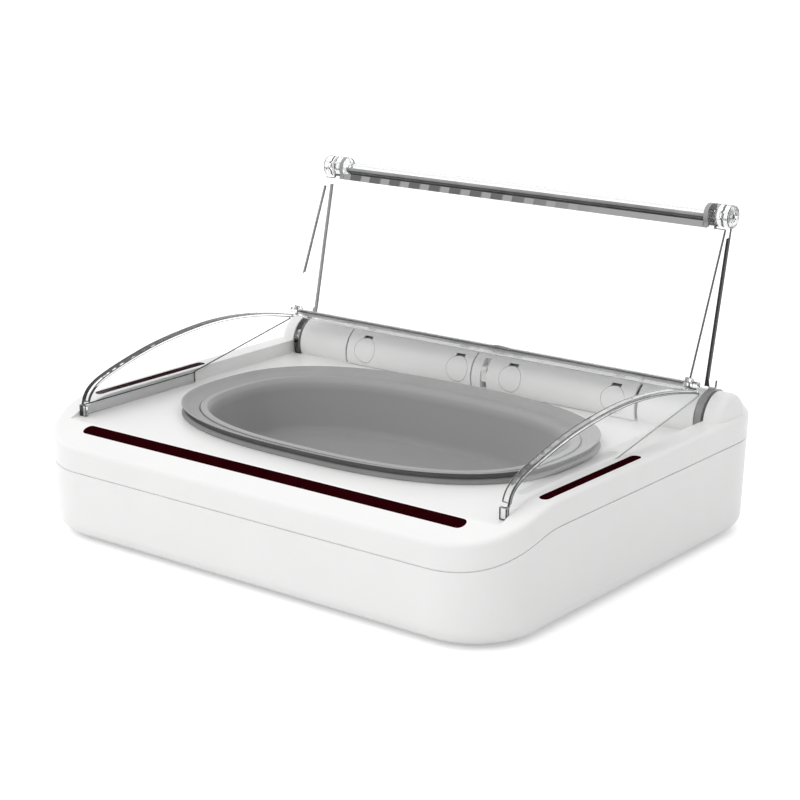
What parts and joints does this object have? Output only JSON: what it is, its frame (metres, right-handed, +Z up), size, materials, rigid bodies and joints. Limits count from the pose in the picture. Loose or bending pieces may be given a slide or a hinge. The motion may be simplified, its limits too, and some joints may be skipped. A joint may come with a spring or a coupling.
{
  "type": "motion-activated pet feeder",
  "caption": "Low white feeder with a grey oval bowl, clear side guards and a motor-driven clear folding lid over a rear battery drum; lid modelled open.",
  "frame": {"origin": "on the floor, under the middle of the body", "axes": "+Z up, -Y is the front where the pet stands, +X is the feeder's right side seen from the front"},
  "size_m": [0.3198, 0.2673, 0.1812],
  "materials": {
    "white_shell": "glossy moulded ABS",
    "clear_plastic": null,
    "steel": "plain steel",
    "grey_bowl": "satin moulded plastic",
    "grey_mat": "soft matt moulding",
    "rubber_foot": "matt",
    "dark_window": "infrared-pass plastic, dark red",
    "circuit_board": "solder mask",
    "contact_metal": "nickel plated",
    "battery_case": "plain sleeve",
    "lamp_lens": "tinted lens",
    "switch_plastic": "moulded",
    "gear_plastic": "acetal",
    "motor_can": "pressed can",
    "frame_plastic": "moulded"
  },
  "bodies": {
    "feeder_body": {"base_tub": "white_shell", "top_cover": "white_shell", "drum_housing": "white_shell", "battery_cell_left_inner": "battery_case", "battery_cell_left_outer": "battery_case", "battery_cell_right_inner": "battery_case", "battery_cell_right_outer": "battery_case", "battery_contacts_left": "contact_metal", "battery_contacts_right": "contact_metal", "battery_lamp": "lamp_lens", "button_switch": "switch_plastic", "guard_left": "clear_plastic", "guard_right": "clear_plastic", "idler_axle": "steel", "motor": "motor_can", "gear_frame": "frame_plastic", "ir_window_front": "dark_window", "ir_window_left": "dark_window", "ir_window_right": "dark_window", "ir_board_front": "circuit_board", "ir_board_left": "circuit_board", "ir_board_right": "circuit_board", "main_board": "circuit_board", "case_screws": "steel", "rubber_feet": "rubber_foot"},
    "rear_lid": {"rear_lid": "clear_plastic", "lid_hinge_rod": "clear_plastic", "hinge_pin_left": "steel", "hinge_pin_right": "steel", "drive_gear": "gear_plastic"},
    "front_lid": {"front_lid": "clear_plastic"},
    "bowl_mat": {"bowl_mat": "grey_mat"},
    "bowl": {"bowl": "grey_bowl"},
    "battery_door_left": {"battery_door_left": "white_shell"},
    "battery_door_right": {"battery_door_right": "white_shell"},
    "door_catch_left_inner": {"door_catch_left_inner": "white_shell"},
    "door_catch_left_outer": {"door_catch_left_outer": "white_shell"},
    "door_catch_right_inner": {"door_catch_right_inner": "white_shell"},
    "door_catch_right_outer": {"door_catch_right_outer": "white_shell"},
    "lid_release_lever": {"lid_release_lever": "white_shell"},
    "open_close_button": {"open_close_button": "white_shell"},
    "idler_gear": {"idler_gear": "gear_plastic"},
    "motor_pinion": {"motor_pinion": "gear_plastic", "motor_shaft": "steel"}
  },
  "joints": [
    {"name": "rear_lid_hinge", "type": "hinge", "parent": "feeder_body", "child": "rear_lid", "pos_m": [0, 0.093, 0.0672], "axis": [-1, 0, 0], "range_deg": [-80.2, 0]},
    {"name": "front_lid_hinge", "type": "hinge", "parent": "rear_lid", "child": "front_lid", "pos_m": [0, 0.1103, 0.1749], "axis": [-1, 0, 0], "range_deg": [0, 132.4]},
    {"name": "idler_gear_spin", "type": "hinge", "parent": "feeder_body", "child": "idler_gear", "pos_m": [0.1514, 0.093, 0.04503], "axis": [-1, 0, 0], "range_deg": [0, 96.3]},
    {"name": "motor_pinion_spin", "type": "hinge", "parent": "feeder_body", "child": "motor_pinion", "pos_m": [0.1514, 0.093, 0.03085], "axis": [-1, 0, 0], "range_deg": [-240.7, 0]},
    {"name": "bowl_mat_lift", "type": "slide", "parent": "feeder_body", "child": "bowl_mat", "axis": [0, 0, 1], "range_m": [0, 0.045]},
    {"name": "bowl_lift", "type": "slide", "parent": "bowl_mat", "child": "bowl", "axis": [0, 0, 1], "range_m": [0, 0.045]},
    {"name": "battery_door_left_pull", "type": "slide", "parent": "feeder_body", "child": "battery_door_left", "axis": [0, -0.9659, 0.2588], "range_m": [0, 0.01]},
    {"name": "battery_door_right_pull", "type": "slide", "parent": "feeder_body", "child": "battery_door_right", "axis": [0, -0.9659, 0.2588], "range_m": [0, 0.01]},
    {"name": "door_catch_left_inner_press", "type": "slide", "parent": "battery_door_left", "child": "door_catch_left_inner", "axis": [0, 0.9659, -0.2588], "range_m": [0, 0.0009], "stiffness_N_per_m": 800},
    {"name": "door_catch_left_outer_press", "type": "slide", "parent": "battery_door_left", "child": "door_catch_left_outer", "axis": [0, 0.9659, -0.2588], "range_m": [0, 0.0009], "stiffness_N_per_m": 800},
    {"name": "door_catch_right_inner_press", "type": "slide", "parent": "battery_door_right", "child": "door_catch_right_inner", "axis": [0, 0.9659, -0.2588], "range_m": [0, 0.0009], "stiffness_N_per_m": 800},
    {"name": "door_catch_right_outer_press", "type": "slide", "parent": "battery_door_right", "child": "door_catch_right_outer", "axis": [0, 0.9659, -0.2588], "range_m": [0, 0.0009], "stiffness_N_per_m": 800},
    {"name": "lid_release_press", "type": "slide", "parent": "feeder_body", "child": "lid_release_lever", "axis": [0, 0, -1], "range_m": [0, 0.003], "stiffness_N_per_m": 500, "springref_m": -0.0005},
    {"name": "open_close_press", "type": "slide", "parent": "feeder_body", "child": "open_close_button", "axis": [0, -0.4695, -0.8829], "range_m": [0, 0.0015], "stiffness_N_per_m": 800, "springref_m": -0.0003}
  ],
  "couplings": [
    {"joint": "front_lid_hinge", "follows": "rear_lid_hinge", "ratio": -1.65},
    {"joint": "idler_gear_spin", "follows": "rear_lid_hinge", "ratio": -1.2},
    {"joint": "motor_pinion_spin", "follows": "rear_lid_hinge", "ratio": 3}
  ]
}
